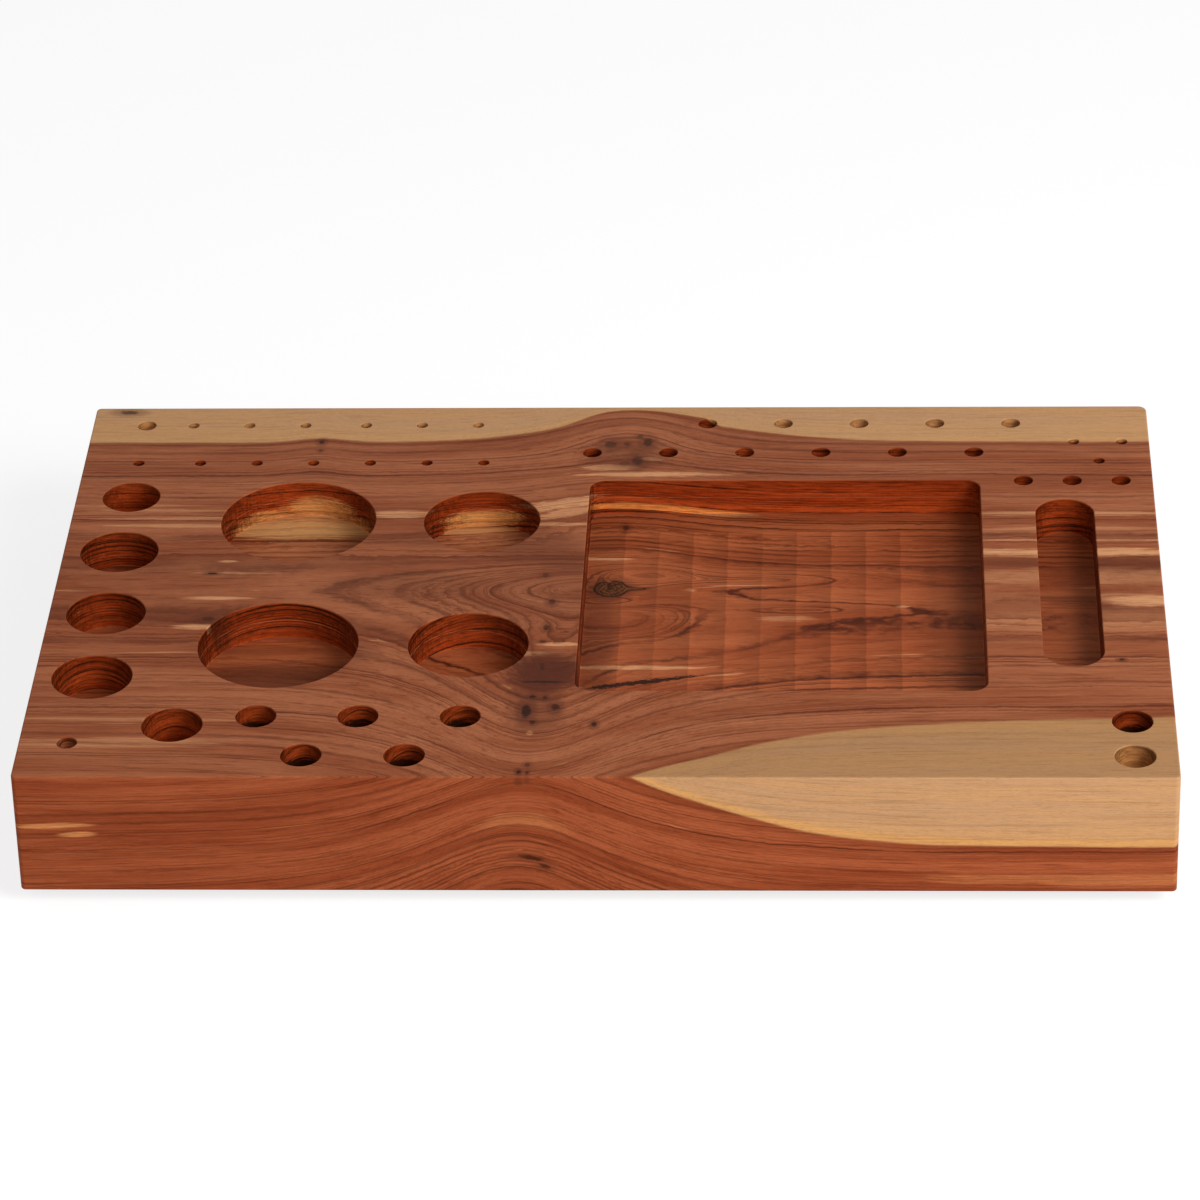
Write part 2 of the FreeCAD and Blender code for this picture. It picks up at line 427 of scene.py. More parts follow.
# %% Where the marks lie
HOLLOW_DEPTH = 15.9
FLOOR, FRONT = -HOLLOW_DEPTH, -142.9
PALE = [
    (-200, 61, 0, 30, 2, 1.2, 0.3),
    (-188, 56.5, 0, 34, 2, 1.5, 0.45),
    (-178, 50.5, 0, 30, 2, 1.4, 0.5),
    (-176, 44.5, 0, 34, 2, 1.6, 0.6),
    (-86, 53.5, 0, 14, 1.2, 20, 0.8),
    (-18, 62.5, 0, 24, 1.5, 20, 0.95),
    (-16, 55.5, 0, 16, 0.9, 20, 0.7),
    (-22, 45.5, 0, 16, 6, 1.6, 0.75),
    (18, 86, 0, 34, 6, 1.6, 1.0),
    (-2, 91.5, 0, 12, 6, 2.0, 0.95),
    (14.5, 98.5, 0, 6, 6, 1.4, 0.6),
    (190, 53.4, 0, 50, 6, 1.9, 0.6),
    (186, 41.5, 0, 40, 6, 1.5, 0.4),
    (190, 32.3, 0, 60, 6, 0.9, 0.6),
    (192, 22.6, 0, 60, 6, 3.6, 1.0),
    (195, 4.0, 0, 60, 6, 7.0, 0.4),
    (195, -30.0, 0, 60, 6, 9.0, 0.25),
    (214, -14.6, 0, 18, 6, 4.4, 1.0),
    (-157, -12.3, 0, 15, 4, 1.5, 0.95),
    (-161, -34.3, 0, 11, 4, 1.9, 0.95),
    (-154, 16.2, 0, 5, 6, 1.0, 0.9),
    (-150, 7.0, 0, 16, 6, 0.8, 0.6),
    (-17, -47.5, 0, 9, 6, 1.5, 0.9),
    (-28, -54.5, 0, 9, 4, 1.8, 0.75),
    (-25.5, -112.2, 0, 1.4, 6, 1.3, 0.7),
    (-50, -68.5, FLOOR, 16, 5, 3.0, 0.85),
    (-125, 52, FLOOR, 38, 5, 11.0, 0.22),
    (-53, 60, FLOOR, 24, 5, 9.0, 0.28),
    (10, -39.5, FLOOR, 36, 6, 1.8, 0.8),
    (-4, 44.0, FLOOR, 13, 5, 1.3, 0.9),
    (72, -2.5, FLOOR, 13, 5, 2.2, 0.45),
    (118.6, 6.7, FLOOR, 3.5, 5, 1.0, 0.9),
    (-208, FRONT, -22.3, 17, 1.1, 20, 1.0),
    (-199, FRONT, -26.6, 8, 1.0, 20, 1.0),
    (-28, FRONT, -19, 20, 3.0, 14, 0.35),
    (190, FRONT, -47, 70, 2.2, 14, 0.35),
    (-180, -102, 0, 50, 0.8, 20, 0.4),
    (-186, -118.8, 0, 46, 14, 2.6, 0.42),
]
GOLD = [
    (16, 81, -12.8, 42, 1.8, 14, 0.95),
    (-128, 70.0, FLOOR, 44, 6, 12.5, 0.95),
    (-120, 80.1, -12.8, 19, 5.6, 13, 0.95),
    (-145, 77.0, -14.5, 12, 2.6, 12, 0.8),
    (-53, 72.2, -13.0, 25, 3.8, 12, 1.0),
    (-60, 68.0, FLOOR, 22, 4, 4.5, 0.7),
]
STAIN = [
    (-30, 27, 0, 24, 30, 14, 0.45),
    (-16, 14, 0, 14, 30, 12, 0.45),
    (-21, -68, 0, 17, 30, 15, 1.0),
    (-78, -3, 0, 36, 30, 13, 0.35),
    (-24, -80, 0, 13, 30, 11, 0.6),
    (-128, 58.8, FLOOR, 36, 5, 0.9, 0.8),
    (-24, -98, 0, 13, 30, 14, 0.45),
    (190, 14.6, 0, 60, 30, 3.0, 0.5),
    (5, 101, 0, 20, 30, 12, 0.4),
    (-60, 33, 0, 55, 30, 5, 0.35),
    (-150, -29, 0, 60, 30, 4.5, 0.4),
    (-30, -6, 0, 46, 30, 26, 0.22),
    (-126, -50, FLOOR, 44, 30, 16, 0.75),
    (-125, 34, FLOOR, 34, 30, 8, 0.3),
    (-4, -16, FLOOR, 8, 30, 50, 0.4),
]
BARK = [
    (-124, 113.2, 0, 1.4, 30, 1.2, 0.9),
    (-124, 106.0, 0, 1.0, 30, 0.8, 0.6),
    (-159.5, 6.7, 0, 2.2, 30, 0.8, 1.0),
    (-158, -28.5, 0, 3.0, 30, 2.0, 0.6),
    (-25.0, 5.0, 0, 1.6, 30, 1.8, 0.5),
    (-21.4, -15.5, 0, 1.5, 30, 2.2, 0.7),
    (-22.8, -34.9, 0, 1.3, 30, 2.2, 0.75),
    (-23.6, -45.5, 0, 1.7, 30, 1.0, 0.7),
    (-23.0, -64.3, 0, 1.1, 30, 2.8, 0.5),
    (-22.5, -75.5, 0, 9.5, 30, 0.9, 0.85),
    (-25.7, -86.1, 0, 1.5, 30, 1.1, 0.9),
    (-20.8, -86.8, 0, 1.0, 30, 1.4, 0.7),
    (-27.6, -96.5, 0, 2.1, 30, 4.2, 1.0),
    (-16.5, -93.6, 0, 1.7, 30, 2.2, 0.9),
    (-25.0, -104.5, 0, 1.4, 30, 1.2, 0.85),
    (-1.0, -105.8, 0, 1.2, 30, 1.4, 0.9),
    (-25.4, -134.5, 0, 1.2, 30, 1.0, 0.6),
    (-28.4, -139.6, 0, 1.0, 0.9, 2.6, 1.0),
    (-25.2, -140.2, 0, 0.8, 0.8, 2.0, 0.7),
    (203.5, -59, 0, 1.3, 30, 0.9, 0.9),
    (-2.5, 110.7, 0, 2.8, 30, 2.4, 0.6),
    (4.3, 110.7, 0, 1.5, 30, 1.4, 0.5),
    (13.0, 112.4, 0, 2.2, 30, 2.6, 0.75),
    (9.7, 117.6, 0, 1.6, 30, 0.9, 0.6),
    (9.2, 97.0, 0, 2.6, 30, 3.4, 0.7),
    (3.8, 94.6, 0, 2.6, 30, 1.6, 0.4),
    (-208, 138.8, 0, 4.2, 1.0, 10, 0.75),
    (-24.5, FRONT, -36.6, 5.2, 0.9, 6, 0.8),
    (-19.5, FRONT, -40.5, 2.4, 0.8, 6, 0.7),
    (4.9, 69.0, FLOOR, 1.5, 30, 2.2, 0.7),
]
DARK_RINGS = [
    (161.8, 0.5), (164.6, 0.6), (166.8, 0.7), (169.4, 0.35), (174.3, 0.5),
    (175.4, 0.6), (179.6, 0.6), (181.7, 0.75), (183.7, 0.6), (187.4, 0.6),
    (196.4, 0.5), (203.5, 0.8), (207.9, 0.5), (212.5, 0.6), (215.6, 0.5),
]
print("marks", len(PALE) + len(GOLD) + len(STAIN) + len(BARK), "dark rings", len(DARK_RINGS))

# %% [markdown]
# ## The colours of red cedar
# The colour is built up in the order in which it grew: the heartwood first, then the pale layers and
# the smoky stains, over them the growth lines, then the sapwood, and last the knots and the bark. So
# the shades are written down once, before anything is laid on. A tint multiplies a colour: what a
# cutter left keeps a redder, darker tone than a planed face, darkest on the walls.

# %% The colours of the wood
HEART_LIGHT = (0.465, 0.152, 0.066)
HEART = (0.345, 0.094, 0.037)
HEART_DEEP = (0.190, 0.040, 0.013)
RING_LINE = (0.085, 0.016, 0.006)
PALE_WOOD = (0.800, 0.370, 0.170)
GOLD_WOOD = (0.800, 0.370, 0.125)
STAIN_DARK = (0.105, 0.025, 0.012)
# the near black of bark, also used for the painted shadow low in the front holes
BARK_AND_SHADOW_BLACK = (0.034, 0.009, 0.004)
SAPWOOD = (0.680, 0.372, 0.184)
SAPWOOD_WARM = (0.760, 0.392, 0.160)
SAPWOOD_GOLD = (0.880, 0.430, 0.130)
SAP_LINE = (0.360, 0.180, 0.078)
KNOT_WOOD = (0.175, 0.056, 0.019)

NO_TINT = (1.0, 1.0, 1.0)
WALL_TINT = (1.30, 0.58, 0.25)
FLOOR_TINT = (1.0, 0.80, 0.66)
# painted light: the planed sides are tinted redder and deeper than the top, for the pale sheen the top
# catches and the light on the front
SIDES_PAINTED_LIGHT_TINT = (1.0, 0.74, 0.62)
PALE_SIDES_PAINTED_LIGHT_TINT = (0.98, 0.80, 0.60)
GOLD_FLOOR_TINT = (0.86, 0.92, 1.0)
GOLD_CUP_TINT = (1.2, 1.1, 0.95)
GOLD_TRAY_TINT = (1.45, 1.0, 0.7)
SAP_LEAF_TINT = (0.76, 0.73, 0.68)
SAP_HOLE_TINT = (1.5, 1.25, 0.95)
print("wood shades from", BARK_AND_SHADOW_BLACK, "to", SAPWOOD_GOLD)

# %% [markdown]
# ## Where a point lies in the wood
# Every rule below asks the same things of a point: its place on the board, its ring, its place round
# the tree, and which tool left the face it is on. Near the board's skin that was the planer. Deeper
# in, a steep face is a hollow's wall and a level one its floor. One helper works this out for all
# the rules. Two more draw noise, in space or stretched along the grain, as a streak in wood is.

# %% Read a place in the wood
PLANED_X, PLANED_Y = 218.0, 138.5
PLANED_TOP, PLANED_BOTTOM = -0.6, -51.5


def space_noise(r, here, rates, **options):
    """Noise that changes so many times per mm along x, y and z."""
    x_rate, y_rate, z_rate = rates
    return r.noise(r.join(here.x * x_rate, here.y * y_rate, here.z * z_rate), **options)


def grain_noise(r, here, rates, **options):
    """Noise that changes so many times per mm along the grain, across the rings and round the tree."""
    along, across, round_tree = rates
    return r.noise(r.join(here.x * along, here.ring * across, here.around * round_tree), **options)


def read_place(r):
    """All that the wood's rules ask of a point, with lengths in mm and heights from the board's top."""
    here = SimpleNamespace()
    from_top = r.vector("MULTIPLY_ADD", r.place(), (1000.0,) * 3, (0.0, 0.0, -1000.0 * top))
    here.x, here.y, here.z = r.split(from_top)
    facing_x, _, facing_z = r.split(r.facing())
    inside = r.sum("LESS_THAN", here.z, PLANED_TOP) * r.sum("GREATER_THAN", here.z, PLANED_BOTTOM)
    inside = inside * r.sum("LESS_THAN", r.sum("ABSOLUTE", here.x), PLANED_X)
    inside = inside * r.sum("LESS_THAN", r.sum("ABSOLUTE", here.y), PLANED_Y)
    steep = r.sum("ABSOLUTE", facing_z).ramp(0.85, 0.4)
    here.inside, here.wall, here.floor_cut = inside, inside * steep, inside * (1.0 - steep)
    here.side = (1.0 - inside) * steep
    here.end_grain = facing_x * facing_x * steep

    ring, here.around = ring_place(here.x, here.y, here.z)
    here.ring = ring + (space_noise(r, here, (1 / 60, 1 / 26, 1 / 26), detail=2.0) - 0.5) * 1.6
    here.spot = r.join(here.x, here.ring, here.around)
    here.broad = grain_noise(r, here, (1 / 150, 0.16, 0.045), detail=3.0, roughness=0.6)
    here.streak = grain_noise(r, here, (1 / 34, 1.2, 0.55), detail=4.0, roughness=0.65)
    here.fibre = grain_noise(r, here, (1 / 8, 4.0, 3.0), detail=3.0, roughness=0.65)
    # ragged streaks: they fray the painted shadow's edge in the front holes and darken walls at random
    here.charred = grain_noise(r, here, (1 / 9, 1.1, 0.6), detail=4.0, roughness=0.7).ramp(0.40, 0.66)
    here.crumble = space_noise(r, here, (0.4, 0.7, 0.7), detail=4.0, roughness=0.65) - 0.5
    here.scraped = space_noise(r, here, (1.3, 1.3, 0.14), detail=2.0).ramp(0.36, 0.64, 0.50, 1.25)
    return here


print("places in the wood can be read")

# %% [markdown]
# ## Growth lines
# A ring starts soft and light in spring and ends in late summer in a thin, hard, dark line. The
# rings' rule can be counted: the fraction of the count says how far a ring has grown, and its whole
# part throws a die for how dark that year's line is. Narrow rings run between the wide ones, and a
# few years are darker than all others.

# %% Draw the growth lines
WIDE_RING, NARROW_RING = 2.1, 0.66
DARK_RING_WIDTH = 0.36


def late_lines(r, count, start, darkening, strength):
    """Thin dark lines, one at each whole value of count, each with its own darkness."""
    whole = r.sum("FLOOR", count)
    grown = count - whole
    luck = r.dice(whole)
    line = grown.ramp(start, 0.97) * grown.ramp(1.0, 0.975) * luck.ramp(0.3, 1.0, 0.05, strength)
    return line, grown * grown * grown * luck.ramp(0.2, 1.0, 0.04, darkening)


def growth_lines(r, here):
    """The dark lines, and the slow darkening of each ring towards its line."""
    shaky = here.ring + (space_noise(r, here, (1 / 5, 1 / 3, 1 / 3), detail=2.0) - 0.5) * 0.7
    patchy = grain_noise(r, here, (1 / 40, 0.4, 0.06), detail=1.0).ramp(0.3, 0.62, 0.35, 1.0)
    uneven = r.noise_along(here.ring * 0.11, detail=2.0) * 14.0
    line, late = late_lines(r, (shaky + uneven) * (1 / WIDE_RING), 0.60, 0.75, 0.80)
    fine, fine_late = late_lines(r, (shaky + uneven * 0.4) * (1 / NARROW_RING), 0.40, 0.42, 0.60)
    line = stronger(line, fine * 0.7)
    width = DARK_RING_WIDTH - here.floor_cut * 0.17
    for level, strength in DARK_RINGS:
        line = stronger(line, bell(shaky - level, width) * strength)
    return line * patchy * (here.wall * 0.95 + here.floor_cut * 0.5 + 1.0), late + fine_late


print("rings", WIDE_RING, "and", NARROW_RING, "mm wide,", len(DARK_RINGS), "dark ones")

# %% [markdown]
# ## Heartwood with its layers and stains
# Heartwood is lighter and darker in long streaks. Over it lie the patches: layers of pale wood,
# golden ones in the hollows, and smoky stains. A patch is round in the wood's own directions, so it
# stretches along the grain, and noise frays its rim. The growth lines go over them all, weaker over
# the pale layers. Low in the front row of holes the walls are painted black: a painted shadow of
# the holes' front rims.

# %% Lay down the heartwood
def patches(r, spot, marks, ragged, halo=0.0):
    """How strongly the marks cover a point in the wood, and the stain that a halo leaves round them."""
    total, stain = 0.0, 0.0
    for x, y, z, along, through, round_tree, strength in marks:
        ring, around = ring_place(x, y, z)
        half = (along, through, round_tree)
        scale = tuple(1.0 / h for h in half)
        shift = tuple(-c / h for c, h in zip((x, ring, around), half))
        offset = r.vector("MULTIPLY_ADD", spot, scale, shift)
        far = r.vector("DOT_PRODUCT", offset, offset) + ragged
        total = r.sum("MAXIMUM", total, far.ramp(1.3, 0.2, 0.0, strength))
        if halo:
            stain = r.sum("MAXIMUM", stain, far.ramp(7.0, 0.8, 0.0, strength * halo))
    return (total, stain) if halo else total


def heartwood(r, here):
    colour = r.blend(here.broad.ramp(0.36, 0.62), HEART, HEART_LIGHT)
    colour = r.blend(here.streak.ramp(0.50, 0.74, 0.0, 0.75), colour, HEART_DEEP)
    colour = r.blend(here.streak.ramp(0.46, 0.26, 0.0, 0.45), colour, HEART_LIGHT)
    tint = r.blend(here.wall, NO_TINT, WALL_TINT)
    tint = r.blend(here.floor_cut, tint, FLOOR_TINT)
    # painted light: the sides redder and deeper than the top
    tint = r.blend(here.side, tint, SIDES_PAINTED_LIGHT_TINT)
    return r.tinted(colour, tint)


def layers_and_lines(r, here, colour, line, late):
    frayed = (grain_noise(r, here, (1 / 22, 2.4, 0.9), detail=3.0, roughness=0.7) - 0.5) * 3.0
    loose = grain_noise(r, here, (1 / 80, 0.7, 0.16), detail=3.0, roughness=0.6)
    pale = stronger(patches(r, here.spot, PALE, frayed), loose.ramp(0.66, 0.76, 0.0, 0.5))
    # the pale layers also get the painted-light side tint
    colour = r.blend(pale, colour, r.tinted(PALE_WOOD, r.blend(here.side, NO_TINT, PALE_SIDES_PAINTED_LIGHT_TINT)))
    gold = patches(r, here.spot, GOLD, frayed * 0.8)
    wall_tint = r.blend(here.x.ramp(-20.0, -10.0), GOLD_CUP_TINT, GOLD_TRAY_TINT)
    colour = r.blend(gold, colour, r.tinted(GOLD_WOOD, r.blend(here.wall, GOLD_FLOOR_TINT, wall_tint)))
    colour = r.blend(patches(r, here.spot, STAIN, frayed * 0.45), colour, STAIN_DARK)
    calm = 1.0 - stronger(pale, gold) * 0.6
    colour = r.blend(late * calm * (1.0 - here.floor_cut * 0.4), colour, HEART_DEEP)
    return r.blend(line * calm, colour, RING_LINE)


def painted_rim_shadow(r, here, colour):
    """A painted shadow of the front rims: a dark crescent low on the walls of the holes along the front,
    left of the first row's end.
    """
    # painted shadow of the front rims, only in the front row of holes, black low on the walls
    in_front_row = here.wall * here.y.ramp(-88.0, -90.0) * here.x.ramp(-150.0, -148.0)
    low = (here.z + here.charred * 2.5).ramp(-5.0, -6.8, 0.0, 0.95)
    return r.blend(in_front_row * low, colour, BARK_AND_SHADOW_BLACK)


print("heartwood rules ready")

# %% [markdown]
# ## Sapwood
# The tan wood is the tree's outermost, living part, so it is simply all that lies outside a certain
# ring. That ring isn't the same all round: it bulges at the back over the whorl, and at the front it
# sinks towards the right end. The sapwood glows golden just outside the border on the front edge,
# and it is duller on the planed leaf and warmer in the holes.

# %% Lay the sapwood over it
def sapwood_over(r, here, colour, line):
    x, around, side = here.x, here.around, here.side
    back_limit = x.ramp(-24.0, -2.0) * x.ramp(44.0, 36.0) * 3.0 + bell(x - 50.0, 45.0) * 2.3 + 217.1
    edge_on = around.ramp(-92.0, -130.0)
    front_limit = fade((12.0 - x) / (edge_on * -40.0 + 90.0)) * 11.0 + 206.0 - edge_on
    front_limit = front_limit + bell(x - 45.0, 32.0) * around.ramp(-75.0, -110.0) * 2.8
    limit = around.ramp(-60.0, 60.0) * (back_limit - front_limit) + front_limit
    outside = here.ring - limit + (here.fibre - 0.5) * 0.7
    planed_leaf = around.ramp(0.0, -60.0) * (1.0 - side)

    tan = r.blend(here.broad.ramp(0.4, 0.6, 0.0, 0.6), SAPWOOD, SAPWOOD_WARM)
    tan = r.blend(outside.ramp(5.0, 0.5, 0.0, 0.6), tan, SAPWOOD_WARM)
    tan = r.blend(bell(outside - 1.2, 1.3) * side * 0.8, tan, SAPWOOD_GOLD)
    tan = r.blend(here.fibre.ramp(0.50, 0.68, 0.0, 0.65), tan, SAP_LINE)
    tan = r.blend(line * 0.45 + here.streak.ramp(0.48, 0.78, 0.0, 0.5), tan, SAP_LINE)
    tan = r.blend(planed_leaf, tan, r.tinted(tan, SAP_LEAF_TINT))
    tan = r.blend(here.inside, tan, r.tinted(tan, SAP_HOLE_TINT))
    colour = r.blend(outside.ramp(-4.0, -0.4, 0.0, 0.30), colour, HEART_DEEP)
    return r.blend(outside.ramp(-0.5, 0.5), colour, tan)


print("sapwood rule ready")

# %% [markdown]
# ## Knots and bark
# Small branches show as pin knots, dark pits with a stain round them. The router laid bare two larger
# things in the tray's floor. One is a branch stub with its own rings, a rim of bark and two cracks.
# The other is a ragged seam of bark that the tree grew round. Both are drawn by their own outlines,
# because each is there only once.

# %% Set in the knots and the bark
KNOT_X, KNOT_Y = 0.5, 20.7
TRAY_LEFT, TRAY_RIGHT = -12.0, 153.0


def knot_parts(r, here):
    """The branch stub in the tray's floor: its wood, its bark and cracks, and the stain round it."""
    crumble = here.crumble
    along, across = here.x - KNOT_X, here.y - KNOT_Y
    notch = bell(along + 0.8, 1.3) * across.ramp(1.5, 6.5, 0.0, 0.45)
    tail = bell(across, 1.4) * along.ramp(4.0, 14.0, 0.0, 1.0)
    shape = root(along * along * (1 / 52) + across * across * (1 / 42)) + notch - tail + crumble * 0.30
    stub = shape.ramp(1.06, 0.96)
    rings = r.sum("SINE", shape * 21.0 + crumble * 9.0).ramp(0.0, 0.8, 0.0, 0.85)
    rim = bell(shape - 0.94, 0.12)
    first = bell(along + 0.9 + crumble * 3.0, 0.75) * across.ramp(-2.0, -0.5) * across.ramp(6.5, 5.0)
    second = bell(across - 1.5 - along * 0.8 + crumble * 3.0, 0.75)
    second = second * along.ramp(-1.0, 0.0) * along.ramp(4.5, 3.0)
    bark = stronger(stronger(rings, rim), stronger(first, second)) * stub
    return stub, bark, shape.ramp(1.9, 0.9, 0.0, 0.55)


def ingrown_bark(here):
    """A ragged black seam that climbs to the right over the front of the tray's floor."""
    x = here.x
    off = here.y + 53.6 - x * 0.21 + here.crumble * 5.0
    thick = x.ramp(-8.0, 2.0) * x.ramp(44.0, 16.0) * 1.5 + 0.12
    return (off * off / (thick * thick)).ramp(1.4, 0.3) * x.ramp(-8.0, -5.0) * x.ramp(44.0, 36.0)


def tray_floor(here):
    from_left = here.floor_cut * here.x.ramp(TRAY_LEFT - 1.0, TRAY_LEFT)
    return from_left * here.x.ramp(TRAY_RIGHT + 1.0, TRAY_RIGHT)


def knots_and_bark(r, here, colour):
    pits, halo = patches(r, here.spot, BARK, here.crumble * 2.0, halo=0.55)
    stub, stub_bark, stub_halo = knot_parts(r, here)
    in_tray = tray_floor(here)
    colour = r.blend(stronger(halo, stub_halo * in_tray), colour, STAIN_DARK)
    colour = r.blend(stub * in_tray, colour, KNOT_WOOD)
    bark = stronger(pits, stronger(stub_bark, ingrown_bark(here)) * in_tray)
    return r.blend(bark, colour, BARK_AND_SHADOW_BLACK), bark


print("knot at", (KNOT_X, KNOT_Y), "pits", len(BARK))

# %% [markdown]
# ## What the tools left
# The router's side passes left the tray's floor with nine lanes, each brightest where its pass began
# and darker towards the next. Round the lanes, along the tray's walls, the floor is a little darker:
# the tone of the router's pass along the edge, and painted shade of the walls. Walls are scraped up
# and down and darkened in ragged streaks, and they are darker just under the rim, which is painted
# shade. They are darkest where the cutter crossed the fibres' ends: end grain is darker, and painted
# shade of the walls deepens it. A thin line shows where the cutter's corner turned.

# %% Shade the wood by its tool marks
LANE_START, LANE, LANES = 4.8, 14.12, 9
LANES_HALF_WIDTH, LANES_HALF_DEPTH, LANES_Y = 63.5, 65.8, -0.15
SEAM_Z = -15.45


def lane_tone(r, here):
    """How bright the tray's floor is: 1 is the tone of the wood."""
    drift = (r.noise_along(here.y * (1 / 9)) - 0.5) * 1.4
    passes = (here.x + drift - LANE_START) * (1 / LANE)
    phase = r.sum("FRACT", passes)
    lane = phase.ramp(0.0, 0.05) * (1.0 - phase) * (r.dice(r.sum("FLOOR", passes)) * 0.5 + 0.7)
    across_lanes = r.sum("ABSOLUTE", here.x - LANE_START - LANE * (LANES / 2))
    along_lanes = r.sum("ABSOLUTE", here.y - LANES_Y)
    in_lanes = across_lanes.ramp(LANES_HALF_WIDTH, 63.2) * along_lanes.ramp(LANES_HALF_DEPTH, 65.2)
    # outside the lanes the floor stays at 0.90: the router's pass along the edge, and painted shade of the
    # tray's walls
    return in_lanes * (lane * 0.34 - 0.02) + 0.90


def tool_tone(r, here):
    """How much brighter or darker each point is than its colour."""
    wall = here.wall
    tone = tray_floor(here) * (lane_tone(r, here) - 1.0) + 1.0
    tone = tone * here.fibre.ramp(0.25, 0.75, 0.84, 1.16)
    tone = tone * grain_noise(r, here, (0.5, 5.0, 5.0), detail=1.0).ramp(0.60, 0.74, 1.0, 0.80)
    rubbed = r.noise_along(here.z * 2.6, detail=2.0).ramp(0.3, 0.7, 0.88, 1.06)
    tone = tone * (wall * (rubbed - 1.0) + 1.0)
    # end-grain walls darker: end grain's own tone, deepened as painted shade of the walls
    tone = tone * (here.end_grain * here.inside * (here.scraped * 0.52 - 1.0) + 1.0)
    # painted shade: walls darker just under the rim; the ragged streaks darken them at random
    tone = tone * (1.0 - wall * (here.charred * 0.38 + here.z.ramp(-8.0, -0.8, 0.0, 0.22)))
    return tone * (bell(here.z - SEAM_Z, 0.25) * here.inside * 0.22 + 1.0)


print("lanes", LANES, "of", LANE, "mm")

# %% [markdown]
# ## The finished cedar
# All rules meet in one material. They also give the relief: growth lines lie a little lower, bark
# much lower, and scraped walls are rough. The board is oiled and not varnished, so its gloss is weak
# and takes the wood's warm tint.

# %% The cedar material
def cedar():
    r = Recipe("cedar")
    here = read_place(r)
    line, late = growth_lines(r, here)
    colour = layers_and_lines(r, here, heartwood(r, here), line, late)
    # painted shadow of the rims, low in the front row of holes
    colour = painted_rim_shadow(r, here, colour)
    colour = sapwood_over(r, here, colour, line)
    colour, bark = knots_and_bark(r, here, colour)
    colour = r.tinted(colour, r.grey(tool_tone(r, here)))
    height = line * -0.035 + here.fibre * 0.04 + here.streak * 0.02 - bark * 0.30
    height = height + here.scraped * here.wall * 0.05
    gloss = {"Specular_IOR_Level": 0.05, "Specular_Tint": (1.0, 0.66, 0.45, 1.0)}
    return r.finish(colour, here.fibre * 0.14 + 0.42, height, relief=0.6, **gloss)


cedar_wood = cedar()
print("cedar nodes", len(cedar_wood.node_tree.nodes))

# %% [markdown]
# ## Turning and pulling
# Most shapes here are rings stacked on one another: a cutter, a rubber foot, a washer, a screw
# head. Such a body starts as a circle, which is extruded upwards again and again and made wider or
# narrower each time. Pulling its halves apart afterwards makes a slot or a rounded square of it.

# %% Helpers for turned bodies
def only(piece):
    """Makes a piece the one that is selected and active."""
    bpy.ops.object.select_all(action="DESELECT")
    piece.select_set(True)
    bpy.context.view_layer.objects.active = piece


def pick(piece, kind, wanted):
    """In edit mode, selects the verts, edges or faces that are wanted and nothing else."""
    bpy.ops.mesh.select_mode(type={"verts": "VERT", "edges": "EDGE", "faces": "FACE"}[kind])
    bpy.ops.mesh.select_all(action="DESELECT")
    cage = bmesh.from_edit_mesh(piece.data)
    for part in getattr(cage, kind):
        part.select_set(bool(wanted(part)))
    cage.select_flush_mode()
    bmesh.update_edit_mesh(piece.data)


def turned(name, rings, sides, hollow=False):
    """A body of rings, each a radius and a height in mm. A hollow one ends where it starts."""
    bpy.ops.object.select_all(action="DESELECT")
    radius, height = rings[0]
    bpy.ops.mesh.primitive_circle_add(
        vertices=sides,
        radius=radius * MM,
        fill_type="NOTHING" if hollow else "NGON",
        location=(0, 0, height * MM),
        rotation=(0, 0, math.pi / sides),
    )
    piece = bpy.context.object
    piece.name = piece.data.name = name
    bpy.ops.object.transform_apply(location=True, rotation=True, scale=True)
    bpy.ops.object.mode_set(mode="EDIT")
    bpy.ops.mesh.select_all(action="SELECT")
    for next_radius, next_height in rings[1:] + (rings[:1] if hollow else []):
        rise = (0, 0, (next_height - height) * MM)
        bpy.ops.mesh.extrude_region_move(TRANSFORM_OT_translate={"value": rise})
        grow = next_radius / radius
        bpy.ops.transform.resize(value=(grow, grow, 1), center_override=(0, 0, 0))
        radius, height = next_radius, next_height
    bpy.ops.mesh.select_all(action="SELECT")
    if hollow:
        bpy.ops.mesh.remove_doubles(threshold=0.01 * MM)
    bpy.ops.mesh.normals_make_consistent(inside=False)
    bpy.ops.object.mode_set(mode="OBJECT")
    return piece


def pulled_apart(piece, across, along):
    """Moves a turned body's halves apart, in mm from the middle."""
    only(piece)
    bpy.ops.object.mode_set(mode="EDIT")
    for axis, reach in ((0, across), (1, along)):
        for sign in (1, -1):
            pick(piece, "verts", lambda v: v.co[axis] * sign > 0)
            step = [0.0, 0.0, 0.0]
            step[axis] = sign * reach * MM
            bpy.ops.transform.translate(value=step)
    bpy.ops.object.mode_set(mode="OBJECT")


def copied(piece, name, x, y):
    """A copy with its own mesh, moved to a place in mm."""
    twin = piece.copy()
    twin.data = piece.data.copy()
    twin.name = twin.data.name = name
    bpy.context.scene.collection.objects.link(twin)
    only(twin)
    bpy.ops.transform.translate(value=(x * MM, y * MM, 0))
    bpy.ops.object.transform_apply(location=True, rotation=True, scale=True)
    return twin


def thrown_away(*pieces):
    for piece in pieces:
        mesh = piece.data
        bpy.data.objects.remove(piece)
        bpy.data.meshes.remove(mesh)


print("turning helpers ready")

# %% [markdown]
# ## The cutters
# The board is made as its maker made it: each hollow is what a cutter takes away. A router needs two
# passes for such deep hollows, and the second one leaves a faint ledge half way down the wall. The
# cutter's corner leaves a tight round where wall meets floor, and sandpaper eases the rim.

